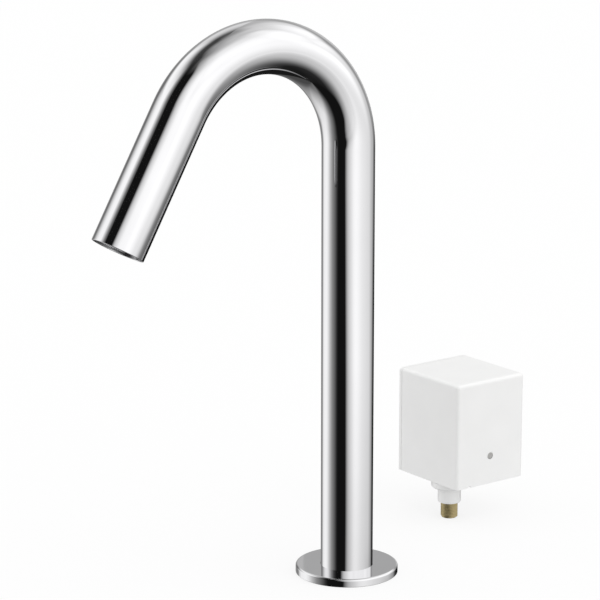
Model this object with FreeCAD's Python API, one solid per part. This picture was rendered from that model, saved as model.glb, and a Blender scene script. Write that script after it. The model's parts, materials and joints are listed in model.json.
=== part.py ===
import FreeCAD, Part
import math
import os
from FreeCAD import Placement, Rotation, Vector

# Deck-mounted sensor tap and its control box.  Lengths in millimetres, angles in degrees.
# The deck's top is z = 0, the tap's column stands on the Z axis and its spout points along -Y.

# ---- driving sizes: spout ----
tube_diameter = 28.0
tube_wall = 1.2
column_height = 228.0       # straight tube above the flange
bend_radius = 57.0          # to the tube's centre line
bend_angle = 150.0
arm_length = 75.0           # straight tube after the bend

# ---- driving sizes: base and fixing ----
flange_diameter = 55.0
flange_thickness = 4.5
flange_rounding = 1.2
flange_floor = 1.5          # metal left under the tube's foot
seal_width = 6.0
seal_thickness = 1.2
insert_height = 18.0
shank_diameter = 22.0
shank_bore = 17.6
thread_below_nut = 36.0     # where the nut runs down for a thicker deck
thread_chamfer = 1.0
deck_thickness = 12.0
gasket_diameter = 46.0
gasket_thickness = 3.0
washer_diameter = 44.0
washer_thickness = 2.0
nut_across_flats = 32.0
nut_height = 9.0
plug_height = 6.0

# ---- driving sizes: hose and cable inside the spout ----
hose_diameter = 8.0
hose_bore = 5.0
hose_offset = 3.3           # from the tube's centre line, to the outside of the bend
barb_length = 9.0
tail_across_flats = 12.0
tail_hex_height = 12.0
tail_thread_diameter = 10.0
tail_thread_length = 12.0
cable_diameter = 3.0
cable_offset = 6.5          # from the tube's centre line, to the inside of the bend
cable_plug_diameter = 4.6
cable_plug_length = 11.0
cable_plug_step = 0.7
cable_plug_nose = 4.0

# ---- driving sizes: outlet ----
outlet_recess = 1.0
holder_height = 23.0
aerator_diameter = 16.0
aerator_wall = 0.8
aerator_height = 10.0
grid_thickness = 2.0
grid_rings = 2              # rings of cells around the middle one
grid_rib = 0.6
grid_edge = 1.2
aerator_lip = 0.8
aerator_chamfer = 0.4
key_slot_width = 1.8
key_slot_depth = 0.7
screen_rim = 1.5
screen_thickness = 0.5
screen_rise = 1.6
aerator_seal_section = 1.4
window_width = 11.0
window_depth = 4.6
window_thickness = 1.6
window_middle = 8.7         # from the tube's centre line
diode_diameter = 3.0
diode_height = 4.2
diode_spacing = 5.4
board_thickness = 1.0

# ---- driving sizes: control box ----
box_depth = 52.0            # along X, front face at +X
box_width = 49.0
box_height = 61.0
box_middle_x = -46.0
box_middle_y = 118.5
box_wall = 2.0
box_rounding = 2.0
plate_thickness = 2.5
plate_recess = 1.2          # the underside lies this far up inside the cover
screw_head_diameter = 3.9
screw_head_height = 1.0
screw_diameter = 2.4
screw_length = 7.0
screw_slot_width = 0.6
screw_slot_length = 2.8
screw_slot_depth = 0.6
screw_post_diameter = 4.8
screw_above_edge = 16.3
notch_radius = 1.0
notch_from_side = 9.5
wall_screw_diameter = 4.2
wall_screw_from_side = 8.5
wall_screw_from_top = 5.5

# ---- driving sizes: inlet ----
inlet_from_front = 19.0
inlet_from_side = 10.6
boss_diameter = 20.8
boss_height = 3.6
boss_neck_diameter = 16.0
boss_chamfer = 0.8
collar_diameter = 13.2
collar_bottom = 12.9        # below the cover's edge
collar_rounding = 1.0
stub_diameter = 9.73
stub_bore = 6.4
stub_chamfer = 0.8
stub_runout = 0.2           # the pipe is this much thinner above its thread, on the radius
stub_bottom = 21.9          # below the cover's edge
socket_depth = 6.0          # the stub's hold in the manifold
check_seat_bore = 4.4
check_seat_depth = 6.0      # below the cover's edge
check_head_height = 1.4
check_stem_diameter = 1.6
check_stem_height = 7.5
check_travel = 1.5
guide_thickness = 1.6
guide_hole_diameter = 1.5
guide_hole_radius = 2.1
check_spring_diameter = 4.0
strainer_length = 12.0
strainer_wall = 0.5
strainer_rim_height = 1.2
strainer_gap = 0.8

# ---- driving sizes: valve ----
manifold_from_back = 3.0    # from the chassis's rear wall to the manifold's rear end
manifold_front = 9.5        # from the inlet's axis
manifold_width = 16.4
manifold_height = 16.0
seat_height = 10.0          # above the plate
seat_bore = 6.0
seat_lip = 1.0
chamber_diameter = 14.0
chamber_floor = 8.6         # above the plate
guide_height = 3.2
piston_diameter = 12.0
piston_height = 5.0
piston_land = 1.0
piston_groove = 0.7
piston_chamfer = 0.8
pilot_bore = 1.0
seal_bore = 1.4
pad_height = 1.2
pad_diameter = 9.4
piston_travel = 1.44
plunger_travel = 1.8
plunger_tip_diameter = 2.4
plunger_tip_root = 3.2
plunger_tip_height = 1.5
plunger_shoulder = 1.0
bonnet_height = 6.0
bonnet_screw_inset = 1.9
bonnet_screw_diameter = 2.8
bonnet_screw_height = 1.2
bonnet_slot_width = 0.5
bonnet_slot_depth = 0.5
core_diameter = 8.0
core_wall = 0.8
core_chamfer = 0.8
core_length = 24.0
core_stop_height = 4.0
plunger_spring_diameter = 3.6
spring_hole_depth = 6.0
spring_wire = 0.5
coil_height = 17.0
coil_diameter = 14.6
bobbin_wall = 0.8
bobbin_rim = 0.6
yoke_thickness = 1.2
yoke_width = 13.0
yoke_nut_across_flats = 10.0
yoke_nut_height = 2.6
outlet_from_end = 7.0       # in front of the manifold's rear end
outlet_bore = 8.2
outlet_depth = 8.4
channel_diameter = 4.4
collet_rim_diameter = 12.0
collet_rim_height = 1.4

# ---- driving sizes: power and electronics ----
battery_height = 35.0
battery_gap = 1.5           # to the box's middle plane and to its side wall
battery_from_front = 7.5
battery_from_back = 4.5
tray_wall = 1.2
tray_height = 12.0
contact_diameter = 6.0
contact_thickness = 0.8
pcb_from_side = 2.0
pcb_height = 27.0
pcb_thickness = 1.6
pcb_standoff = 2.0
pcb_above_plate = 19.5
board_margin = 5.0
processor_side = 7.0
processor_height = 1.4
driver_width = 4.0
driver_length = 6.0
driver_height = 1.2
storage_diameter = 5.0
storage_height = 2.4
plug_width = 7.0
plug_height = 6.0
plug_reach = 2.6
plug_wall = 1.0
plug_above_edge = 3.0
post_diameter = 4.0
grommet_diameter = 8.0
grommet_bore = 3.2
grommet_from_side = 12.5
grommet_rim = 1.0

# ---- clearances ----
slip = 0.05                 # running and screwed fits, on the radius
seat_gap = 0.1              # loose seats of fixed pieces, on the radius
washer_gap = 0.4
cover_gap = 0.3
wire_gap = 0.2

# ---- sizes that follow ----
tube_radius = tube_diameter / 2
tube_inside = tube_radius - tube_wall
bend_start = flange_thickness + column_height
bend_centre = Vector(0, -bend_radius, bend_start)
lean = bend_angle - 180
bend_end = Vector(
    0,
    bend_radius * (math.cos(math.radians(bend_angle)) - 1),
    bend_start + bend_radius * math.sin(math.radians(bend_angle)),
)
arm_direction = Vector(0, -math.sin(math.radians(bend_angle)), math.cos(math.radians(bend_angle)))
outlet_place = Placement(bend_end + arm_direction * arm_length, Rotation(Vector(1, 0, 0), lean))
holder_top = outlet_recess + holder_height
aerator_y = -hose_offset    # the aerator and the hose share an axis
clamp_top = -deck_thickness
clamp_height = gasket_thickness + washer_thickness + nut_height
shank_length = deck_thickness + clamp_height + thread_below_nut

box_floor = stub_bottom     # height of the cover's lower edge: the stub stands on the deck plane
plate_bottom = plate_recess
plate_top = plate_recess + plate_thickness
chassis_back = -box_depth / 2
chassis_inside = chassis_back + box_wall
cover_inside = box_depth / 2 - box_wall
box_place = Placement(Vector(box_middle_x, box_middle_y, box_floor), Rotation())
inlet_x = box_depth / 2 - inlet_from_front
inlet_y = inlet_from_side - box_width / 2
manifold_end = chassis_inside + manifold_from_back
outlet_x = manifold_end + outlet_from_end
battery_length = cover_inside - battery_from_front - chassis_inside - battery_from_back
battery_width = box_width / 2 - box_wall - 2 * battery_gap
pcb_width = box_width - 2 * (box_wall + pcb_from_side)
wall_screw_spacing = box_width - 2 * wall_screw_from_side
grommet_y = box_width / 2 - grommet_from_side
seat_z = plate_top + seat_height
manifold_top = plate_top + manifold_height
piston_top = seat_z + piston_height + pad_height
bonnet_top = manifold_top + bonnet_height
core_bottom = bonnet_top - 3.0
core_top = core_bottom + core_length
core_stop_bottom = core_top - core_wall - core_stop_height
plunger_top = core_stop_bottom - plunger_travel
coil_bottom = bonnet_top + yoke_thickness
coil_top = coil_bottom + coil_height


# ---- small tools ----
def turned(outline, x=0.0, y=0.0):
    """Solid turned about the vertical through x, y from (radius, height) corners."""
    corners = [Vector(radius, 0, height) for radius, height in outline]
    face = Part.Face(Part.makePolygon(corners + corners[:1]))
    solid = face.revolve(Vector(0, 0, 0), Vector(0, 0, 1), 360)
    solid.translate(Vector(x, y, 0))
    return solid


def rod(diameter, bottom, top, x=0.0, y=0.0):
    return Part.makeCylinder(diameter / 2, top - bottom, Vector(x, y, bottom))


def ring(outside, inside, bottom, top, x=0.0, y=0.0):
    return rod(outside, bottom, top, x, y).cut(rod(inside, bottom - 1, top + 1, x, y))


def rod_along_x(diameter, start, end, y, z):
    return Part.makeCylinder(diameter / 2, end - start, Vector(start, y, z), Vector(1, 0, 0))


def block(x0, x1, y0, y1, z0, z1):
    return Part.makeBox(x1 - x0, y1 - y0, z1 - z0, Vector(x0, y0, z0))


def hexagon(across_flats, bottom, top, x=0.0, y=0.0):
    corner = across_flats / math.sqrt(3)
    points = []
    for k in range(7):
        angle = math.radians(60 * k + 30)
        points.append(Vector(x + corner * math.cos(angle), y + corner * math.sin(angle), bottom))
    return Part.Face(Part.makePolygon(points)).extrude(Vector(0, 0, top - bottom))


def upright_edges(solid):
    """The straight vertical edges of a solid."""
    chosen = []
    for edge in solid.Edges:
        first, last = edge.Vertexes[0].Point, edge.Vertexes[-1].Point
        if abs(first.x - last.x) + abs(first.y - last.y) < 1e-6 and abs(first.z - last.z) > 1e-6:
            chosen.append(edge)
    return chosen


def rounded_block(x0, x1, y0, y1, z0, z1, radius):
    solid = block(x0, x1, y0, y1, z0, z1)
    return solid.makeFillet(radius, upright_edges(solid))


def along_spout(diameter, offset, foot, end):
    """Round bar along the spout's line, moved by offset to the outside of the bend.

    It starts at the height foot in the column and stops at the distance end from the outlet.
    """
    radius = diameter / 2
    rise = Part.makeCylinder(radius, bend_start - foot, Vector(0, offset, foot))
    disc = Part.Face(Part.Wire(Part.makeCircle(radius, Vector(0, offset, bend_start))))
    bend = disc.revolve(bend_centre, Vector(1, 0, 0), bend_angle)
    arm = Part.makeCylinder(radius, arm_length - end, Vector(0, -offset, end))
    arm.Placement = outlet_place
    return rise.fuse([bend, arm]).removeSplitter()


def save(name, shape, place=None):
    if place is not None:
        shape.Placement = place.multiply(shape.Placement)
    shape.exportStep("parts/" + name + ".step")


# ---- tap: spout and base ----
def spout_tube():
    outside = along_spout(tube_diameter, 0, flange_floor, 0)
    inside = along_spout(tube_inside * 2, 0, flange_floor - 1, -1)
    return outside.cut(inside)


def base_flange():
    """Disc with a rounded rim, a seat for the tube's foot and a groove for the seal."""
    radius = flange_diameter / 2
    disc = rod(flange_diameter, 0, flange_thickness)
    rim = [e for e in disc.Edges if e.BoundBox.ZMin > flange_thickness - 0.01]
    disc = disc.makeFillet(flange_rounding, rim)
    disc = disc.cut(rod(tube_diameter + 2 * seat_gap, flange_floor, flange_thickness + 1))
    disc = disc.cut(rod(shank_diameter + 2 * washer_gap, -1, flange_floor + 1))
    outer = radius - 3.0
    groove = ring(outer * 2, (outer - seal_width) * 2, -1, seal_thickness)
    return disc.cut(groove)


def base_seal():
    outer = flange_diameter / 2 - 3.0 - seat_gap
    inner = flange_diameter / 2 - 3.0 - seal_width + seat_gap
    return ring(outer * 2, inner * 2, 0, seal_thickness)


def tube_insert():
    """Threaded ring brazed into the foot of the tube."""
    outer = (tube_inside - slip) * 2
    return ring(outer, shank_diameter + 2 * slip, flange_floor, flange_floor + insert_height)


def threaded_shank():
    top = flange_floor + insert_height
    outer, inner = shank_diameter / 2, shank_bore / 2
    outline = [
        (inner, -shank_length),
        (outer - thread_chamfer, -shank_length),
        (outer, -shank_length + thread_chamfer),
        (outer, top - thread_chamfer),
        (outer - thread_chamfer, top),
        (inner, top),
    ]
    return turned(outline)


def deck_gasket():
    return ring(gasket_diameter, shank_diameter + 2 * washer_gap, clamp_top - gasket_thickness, clamp_top)


def clamp_washer():
    top = clamp_top - gasket_thickness
    return ring(washer_diameter, shank_diameter + 2 * washer_gap, top - washer_thickness, top)


def fixing_nut():
    """Hexagon nut with chamfered corners, clipped to its own cone."""
    top = clamp_top - gasket_thickness - washer_thickness
    bottom = top - nut_height
    body = hexagon(nut_across_flats, bottom, top)
    corner = nut_across_flats / math.sqrt(3)
    flat = nut_across_flats / 2 - 0.5
    drop = (corner - flat) * math.tan(math.radians(30))
    cone = turned([(0, bottom), (flat, bottom), (corner, bottom + drop), (corner, top), (0, top)])
    return body.common(cone).cut(rod(shank_diameter + 2 * slip, bottom - 1, top + 1))


def shank_plug():
    """End plug that holds the hose and the cable in the shank's bore."""
    plug = rod(shank_bore - 2 * seat_gap, -shank_length, -shank_length + plug_height)
    plug = plug.cut(rod(hose_diameter + 2 * seat_gap, -shank_length - 1, 0, 0, hose_offset))
    return plug.cut(rod(cable_diameter + 2 * seat_gap, -shank_length - 1, 0, 0, -cable_offset))


# ---- tap: hose and cable ----
def water_hose():
    outside = along_spout(hose_diameter, hose_offset, -shank_length, holder_top)
    inside = along_spout(hose_bore, hose_offset, -shank_length - 1, holder_top - 1)
    return outside.cut(inside)


def hose_tail():
    """Screwed end of the hose: barb, hexagon and thread."""
    top = -shank_length
    hex_bottom = top - tail_hex_height
    bottom = hex_bottom - tail_thread_length
    bore = hose_bore / 2 - 1.0
    thread = tail_thread_diameter / 2
    stem = turned(
        [
            (bore, bottom),
            (thread - thread_chamfer, bottom),
            (thread, bottom + thread_chamfer),
            (thread, hex_bottom),
            (bore, hex_bottom),
        ],
        0,
        hose_offset,
    )
    hexagonal = hexagon(tail_across_flats, hex_bottom, top, 0, hose_offset)
    hexagonal = hexagonal.cut(rod(bore * 2, hex_bottom - 1, top + 1, 0, hose_offset))
    barb = ring(hose_bore - 2 * slip, bore * 2, top, top + barb_length, 0, hose_offset)
    return hexagonal.fuse([stem, barb]).removeSplitter()


def sensor_cable():
    foot = -shank_length
    end = outlet_recess + window_thickness + diode_height + board_thickness
    return along_spout(cable_diameter, -cable_offset, foot, end)


def cable_plug():
    """Round plug on the cable's lower end, with a keyed nose."""
    bottom = -shank_length - cable_plug_length
    radius = cable_plug_diameter / 2
    outline = [
        (0, bottom),
        (radius - cable_plug_step, bottom),
        (radius - cable_plug_step, bottom + cable_plug_nose),
        (radius, bottom + cable_plug_nose),
        (radius, -shank_length - 1),
        (radius - 0.5, -shank_length),
        (0, -shank_length),
    ]
    return turned(outline, 0, -cable_offset)


# ---- tap: outlet, drawn with its end plane at z = 0 and the tube going up ----
def sensor_pocket(low, high, gap):
    half = window_width / 2 + gap
    y0 = window_middle - window_depth / 2 - gap
    y1 = window_middle + window_depth / 2 + gap
    pocket = rounded_block(-half, half, y0, y1, low, high, window_depth / 4)
    return pocket.common(rod((tube_inside - 2 * seat_gap) * 2 - 1.2, low, high))


def outlet_holder():
    """Moulded core that carries the aerator, the sensor and the hose's upper end."""
    body = rod((tube_inside - seat_gap) * 2, outlet_recess, holder_top)
    body = body.cut(rod(aerator_diameter + 2 * slip, 0, outlet_recess + aerator_height, 0, aerator_y))
    seal_room = outlet_recess + aerator_height + aerator_seal_section
    body = body.cut(rod(aerator_diameter - 2, 0, seal_room, 0, aerator_y))
    nipple = rod(hose_bore - 2 * slip, holder_top, holder_top + barb_length, 0, aerator_y)
    body = body.fuse(nipple)
    body = body.cut(rod(hose_bore - 2, 0, holder_top + barb_length + 1, 0, aerator_y))
    pocket_top = outlet_recess + window_thickness + diode_height + board_thickness
    body = body.cut(sensor_pocket(0, pocket_top, seat_gap))
    return body.cut(rod(cable_diameter + 2 * seat_gap, 0, holder_top + 1, 0, cable_offset))


def aerator_housing():
    """Threaded sleeve with an inward lip under the grid and four key slots."""
    outer = aerator_diameter / 2
    inner = outer - aerator_wall
    top = outlet_recess + aerator_height
    lip = inner - aerator_lip
    outline = [
        (lip, outlet_recess),
        (outer - aerator_chamfer, outlet_recess),
        (outer, outlet_recess + aerator_chamfer),
        (outer, top),
        (inner, top),
        (inner, outlet_recess + aerator_lip),
        (lip, outlet_recess + aerator_lip),
    ]
    sleeve = turned(outline)
    for k in range(4):
        half = key_slot_width / 2
        slot = block(inner - seat_gap, outer + 1, -half, half, 0, outlet_recess + key_slot_depth)
        slot.rotate(Vector(0, 0, 0), Vector(0, 0, 1), 45 + 90 * k)
        sleeve = sleeve.cut(slot)
    sleeve.translate(Vector(0, aerator_y, 0))
    return sleeve


def aerator_grid():
    """Flow straightener: a disc of hexagonal cells around a middle one."""
    low = outlet_recess + aerator_lip
    high = low + grid_thickness
    radius = aerator_diameter / 2 - aerator_wall - slip
    pitch = 2 * (radius - grid_edge) / (2 * grid_rings + 1)
    disc = rod(radius * 2, low, high)
    cells = []
    for row in range(-grid_rings, grid_rings + 1):
        for column in range(-grid_rings, grid_rings + 1):
            if abs(row + column) > grid_rings:
                continue
            x = pitch * (column + row / 2)
            y = pitch * row * math.sqrt(3) / 2
            cells.append(hexagon(pitch - grid_rib, low - 1, high + 1, x, y))
    disc = disc.cut(Part.makeCompound(cells))
    disc.translate(Vector(0, aerator_y, 0))
    return disc


def aerator_screen():
    """Shallow cone of filter screen above the grid."""
    rim = aerator_diameter / 2 - aerator_wall - slip
    low = outlet_recess + aerator_height - screen_rise - screen_thickness
    outline = [
        (0, low + screen_rise),
        (rim - screen_rim, low),
        (rim, low),
        (rim, low + screen_thickness),
        (rim - screen_rim, low + screen_thickness),
        (0, low + screen_rise + screen_thickness),
    ]
    return turned(outline, 0, aerator_y)


def aerator_seal():
    """Ring of eight-sided section pressed between the sleeve and the core."""
    outer = (aerator_diameter - 2) / 2 - seat_gap
    section = aerator_seal_section / 2
    middle_z = outlet_recess + aerator_height + section
    outline = []
    for k in range(8):
        angle = math.radians(45 * k + 22.5)
        reach = section / math.cos(math.radians(22.5))
        outline.append((outer - section + reach * math.cos(angle), middle_z + reach * math.sin(angle)))
    return turned(outline, 0, aerator_y)


def sensor_window():
    return sensor_pocket(outlet_recess, outlet_recess + window_thickness, 0)


def diode(x):
    """Round-nosed diode that looks out through the window."""
    radius = diode_diameter / 2
    low = outlet_recess + window_thickness
    high = low + diode_height
    stem = turned(
        [(0, low), (radius * 0.6, low), (radius, low + radius * 0.6), (radius, high), (0, high)],
        x,
        window_middle,
    )
    return stem


def sensor_board():
    low = outlet_recess + window_thickness + diode_height
    return sensor_pocket(low, low + board_thickness, 0)


# ---- control box, drawn with its middle at x = y = 0 and the cover's lower edge at z = 0 ----
def box_cover():
    """Shell with a front, a top and two sides, open at the back and below."""
    half = box_width / 2
    back = chassis_inside + cover_gap
    shell = block(back, box_depth / 2, -half, half, 0, box_height)
    front = []
    for edge in shell.Edges:
        box = edge.BoundBox
        at_front = box.XMin > box_depth / 2 - 0.01
        at_top = box.ZMin > box_height - 0.01
        if (at_front or at_top) and box.ZMax > 0.01 and box.XMax > back + 0.01:
            front.append(edge)
    shell = shell.makeFillet(box_rounding, front)
    inside = half - box_wall
    room = block(back - 1, cover_inside, -inside, inside, -1, box_height - box_wall)
    shell = shell.cut(room)
    hole = rod_along_x(screw_diameter + 2 * seat_gap, cover_inside - 1, box_depth, 0, screw_above_edge)
    sink = rod_along_x(
        screw_head_diameter + 2 * seat_gap,
        box_depth / 2 - screw_head_height,
        box_depth,
        0,
        screw_above_edge,
    )
    notch_y = -half + notch_from_side
    notch = rod_along_x(notch_radius * 2, cover_inside - 1, box_depth, notch_y, 0)
    return shell.cut(hole).cut(sink).cut(notch)


def cover_screw():
    """Captive screw whose head lies flush in the front face."""
    face = box_depth / 2
    head = rod_along_x(screw_head_diameter, face - screw_head_height, face - seat_gap, 0, screw_above_edge)
    stem = rod_along_x(screw_diameter, face - screw_length, face - screw_head_height, 0, screw_above_edge)
    floor = face - seat_gap - screw_slot_depth
    half = screw_slot_width / 2
    low = screw_above_edge - screw_slot_length / 2
    recess = block(floor, face + 1, -half, half, low, low + screw_slot_length)
    return head.fuse(stem).cut(recess)


def box_chassis():
    """Bottom plate and back plate in one moulding, with the inlet boss and the screw post."""
    inside = box_width / 2 - box_wall - cover_gap
    front = cover_inside - cover_gap
    bottom = block(chassis_back, front, -inside, inside, plate_bottom, plate_top)
    half = box_width / 2
    back = block(chassis_back, chassis_inside, -half, half, 0, box_height)
    top_edges = [e for e in back.Edges if e.BoundBox.ZMin > box_height - 0.01 and e.BoundBox.XLength > 1]
    back = back.makeFillet(box_rounding, top_edges)
    neck = rod(boss_neck_diameter, -cover_gap, plate_bottom + 0.5, inlet_x, inlet_y)
    flange = turned(
        [
            (0, -cover_gap - boss_height),
            (boss_diameter / 2 - boss_chamfer, -cover_gap - boss_height),
            (boss_diameter / 2, -cover_gap - boss_height + boss_chamfer),
            (boss_diameter / 2, -cover_gap),
            (0, -cover_gap),
        ],
        inlet_x,
        inlet_y,
    )
    post_back = front - screw_length + 1.0
    half_post = screw_post_diameter / 2
    post = block(post_back, front, -half_post, half_post, plate_top - 0.5, screw_above_edge)
    barrel = rod_along_x(screw_post_diameter, post_back, front, 0, screw_above_edge)
    chassis = bottom.fuse([back, neck, flange, post, barrel])
    for y, z in pcb_posts():
        chassis = chassis.fuse(rod_along_x(post_diameter, chassis_inside - 0.5, pcb_back(), y, z))
    holes = [
        rod(stub_diameter + 2 * seat_gap, -stub_bottom, manifold_top, inlet_x, inlet_y),
        rod_along_x(screw_diameter + 2 * slip, post_back - 1, front + 1, 0, screw_above_edge),
        rod(collet_rim_diameter + 2 * seat_gap, -1, plate_top + 1, outlet_x, inlet_y),
        rod(grommet_diameter, -1, plate_top + 1, outlet_x, grommet_y),
    ]
    for side in (-1, 1):
        y = side * wall_screw_spacing / 2
        z = box_height - wall_screw_from_top
        holes.append(rod_along_x(wall_screw_diameter, chassis_back - 1, chassis_inside + 1, y, z))
    return chassis.cut(holes).removeSplitter()


# ---- control box: inlet ----
def inlet_collar():
    collar = ring(
        collar_diameter,
        stub_diameter + 2 * seat_gap,
        -collar_bottom,
        -cover_gap - boss_height,
        inlet_x,
        inlet_y,
    )
    rim = [
        e
        for e in collar.Edges
        if e.BoundBox.ZMax < -collar_bottom + 0.01 and e.BoundBox.XLength > collar_diameter - 0.1
    ]
    return collar.makeFillet(collar_rounding, rim)


def inlet_stub():
    """Threaded pipe with the check valve's seat inside."""
    outer, inner = stub_diameter / 2, stub_bore / 2
    throat = check_seat_bore / 2
    top = plate_top + socket_depth
    outline = [
        (inner, -stub_bottom),
        (outer - stub_chamfer, -stub_bottom),
        (outer, -stub_bottom + stub_chamfer),
        (outer, -collar_bottom),
        (outer - stub_runout, -collar_bottom),
        (outer - stub_runout, top),
        (inner, top),
        (inner, -check_seat_depth),
        (throat, -check_seat_depth),
        (throat, -check_seat_depth - 1.0),
        (inner, -check_seat_depth - 1.0),
    ]
    return turned(outline, inlet_x, inlet_y)


def inlet_strainer():
    """Thimble of perforated sheet with a closed upper end."""
    outer = stub_bore / 2 - slip
    inner = outer - strainer_wall
    top = -check_seat_depth - 1.0 - strainer_gap
    bottom = top - strainer_length
    outline = [
        (inner, bottom),
        (outer, bottom),
        (outer, bottom + strainer_rim_height),
        (inner + wire_gap, bottom + strainer_rim_height),
        (inner + wire_gap, top),
        (0, top),
        (0, top - strainer_wall),
        (inner - 0.3, top - strainer_wall),
        (inner - 0.3, bottom + strainer_rim_height),
        (inner, bottom + strainer_rim_height - 0.3),
    ]
    return turned(outline, inlet_x, inlet_y)


def check_poppet():
    """Mushroom head on a stem, resting on the seat in the stub."""
    head = stub_bore / 2 - 0.3
    stem = check_stem_diameter / 2
    low = -check_seat_depth
    high = low + check_head_height
    outline = [
        (0, low),
        (head, low),
        (head, low + check_head_height * 0.6),
        (stem + 0.4, high),
        (stem, high),
        (stem, low + check_stem_height),
        (0, low + check_stem_height),
    ]
    return turned(outline, inlet_x, inlet_y)


def check_guide_bottom():
    return -check_seat_depth + check_head_height + check_travel + 3.0


def check_guide():
    """Spider that carries the stem and holds the spring's upper end."""
    low = check_guide_bottom()
    guide = ring(stub_bore - 2 * slip, check_stem_diameter + 2 * slip, low, low + guide_thickness, inlet_x, inlet_y)
    for k in range(3):
        angle = math.radians(90 + 120 * k)
        x = inlet_x + guide_hole_radius * math.cos(angle)
        y = inlet_y + guide_hole_radius * math.sin(angle)
        guide = guide.cut(rod(guide_hole_diameter, low - 1, low + guide_thickness + 1, x, y))
    return guide


def check_spring():
    """Space that the check valve's coil spring takes up."""
    low = -check_seat_depth + check_head_height
    inside = check_spring_diameter - 2 * spring_wire
    return ring(check_spring_diameter, inside, low + slip, check_guide_bottom() - slip, inlet_x, inlet_y)


# ---- control box: valve ----
def valve_body():
    """Manifold with the inlet socket, the seat, its chamber and the way to the outlet."""
    back = manifold_end
    front = inlet_x + manifold_front
    half = manifold_width / 2
    body = rounded_block(back, front, inlet_y - half, inlet_y + half, plate_top, manifold_top, 3.0)
    socket_radius = stub_diameter / 2 + slip
    socket_top = plate_top + socket_depth
    seat_radius = seat_bore / 2
    floor = plate_top + chamber_floor
    chamber_radius = chamber_diameter / 2
    chamber_top = manifold_top - guide_height
    guide_radius = piston_diameter / 2 + slip
    cavity = turned(
        [
            (0, plate_top - 1),
            (socket_radius, plate_top - 1),
            (socket_radius, socket_top),
            (seat_radius, socket_top),
            (seat_radius, seat_z),
            (seat_radius + seat_lip, seat_z),
            (seat_radius + seat_lip, floor),
            (chamber_radius, floor),
            (chamber_radius, chamber_top),
            (guide_radius, chamber_top),
            (guide_radius, manifold_top + 1),
            (0, manifold_top + 1),
        ],
        inlet_x,
        inlet_y,
    )
    channel_z = floor + channel_diameter / 2
    channel = rod_along_x(channel_diameter, outlet_x, inlet_x - chamber_radius + 1, inlet_y, channel_z)
    outlet = rod(outlet_bore, plate_top - 1, plate_top + outlet_depth, outlet_x, inlet_y)
    riser = rod(channel_diameter, plate_top, channel_z, outlet_x, inlet_y)
    return body.cut([cavity, channel.fuse([outlet, riser])])


def valve_piston():
    """Servo piston with a pilot hole and two grooves around it."""
    low = seat_z + pad_height
    outer = piston_diameter / 2
    inner = pilot_bore / 2
    groove_low = low + piston_chamfer + piston_land
    groove_high = groove_low + piston_land
    outline = [
        (inner, low),
        (pad_diameter / 2 - 0.5, low),
        (outer, low + piston_chamfer),
        (outer, groove_low),
        (outer - piston_groove, groove_low),
        (outer - piston_groove, groove_high),
        (outer, groove_high),
        (outer, piston_top),
        (inner, piston_top),
    ]
    return turned(outline, inlet_x, inlet_y)


def piston_seal():
    return ring(pad_diameter - 1.0, seal_bore, seat_z, seat_z + pad_height, inlet_x, inlet_y)


def valve_bonnet():
    """Cap over the piston, with the socket for the core tube."""
    half = manifold_width / 2
    low = manifold_top
    plate = rounded_block(
        inlet_x - manifold_front,
        inlet_x + manifold_front,
        inlet_y - half,
        inlet_y + half,
        low,
        low + bonnet_height / 2,
        3.0,
    )
    neck = rod(core_diameter + 3.0, low, bonnet_top, inlet_x, inlet_y)
    room = rod(piston_diameter + 2 * slip, low - 1, piston_top + piston_travel + wire_gap, inlet_x, inlet_y)
    way = rod(core_diameter - 2 * core_wall, low, bonnet_top + 1, inlet_x, inlet_y)
    socket = rod(core_diameter + 2 * slip, core_bottom, bonnet_top + 1, inlet_x, inlet_y)
    return plate.fuse(neck).cut([room, way, socket]).removeSplitter()


def bonnet_screws():
    """Four screws through the corners of the bonnet."""
    screws = []
    low = manifold_top + bonnet_height / 2
    for dx in (-1, 1):
        for dy in (-1, 1):
            x = inlet_x + dx * (manifold_front - bonnet_screw_inset)
            y = inlet_y + dy * (manifold_width / 2 - bonnet_screw_inset)
            top = low + bonnet_screw_height
            head = rod(bonnet_screw_diameter, low, top, x, y)
            half = bonnet_slot_width / 2
            reach = bonnet_screw_diameter
            slot = block(x - reach, x + reach, y - half, y + half, top - bonnet_slot_depth, top + 1)
            screws.append(head.cut(slot))
    return Part.makeCompound(screws)


def core_tube():
    outer = core_diameter / 2
    inner = outer - core_wall
    outline = [
        (inner, core_bottom),
        (outer, core_bottom),
        (outer, core_top - core_chamfer),
        (outer - core_chamfer, core_top),
        (0, core_top),
        (0, core_top - core_wall),
        (inner, core_top - core_wall),
    ]
    return turned(outline, inlet_x, inlet_y)


def core_stop():
    outer = (core_diameter / 2 - core_wall - slip) * 2
    return rod(outer, core_stop_bottom, core_top - core_wall, inlet_x, inlet_y)


def plunger():
    """Steel plunger with a tip that closes the pilot hole and a blind hole for the spring."""
    outer = core_diameter / 2 - core_wall - slip
    low = piston_top
    high = plunger_top
    hole = plunger_spring_diameter / 2 + wire_gap
    outline = [
        (0, low),
        (plunger_tip_diameter / 2, low),
        (plunger_tip_root / 2, low + plunger_tip_height),
        (outer, low + plunger_tip_height + plunger_shoulder),
        (outer, high),
        (hole, high),
        (hole, high - spring_hole_depth),
        (0, high - spring_hole_depth),
    ]
    return turned(outline, inlet_x, inlet_y)


def plunger_spring():
    """Space that the plunger's coil spring takes up."""
    inside = plunger_spring_diameter - 2 * spring_wire
    low = plunger_top - spring_hole_depth + slip
    return ring(plunger_spring_diameter, inside, low, core_stop_bottom - slip, inlet_x, inlet_y)


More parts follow.
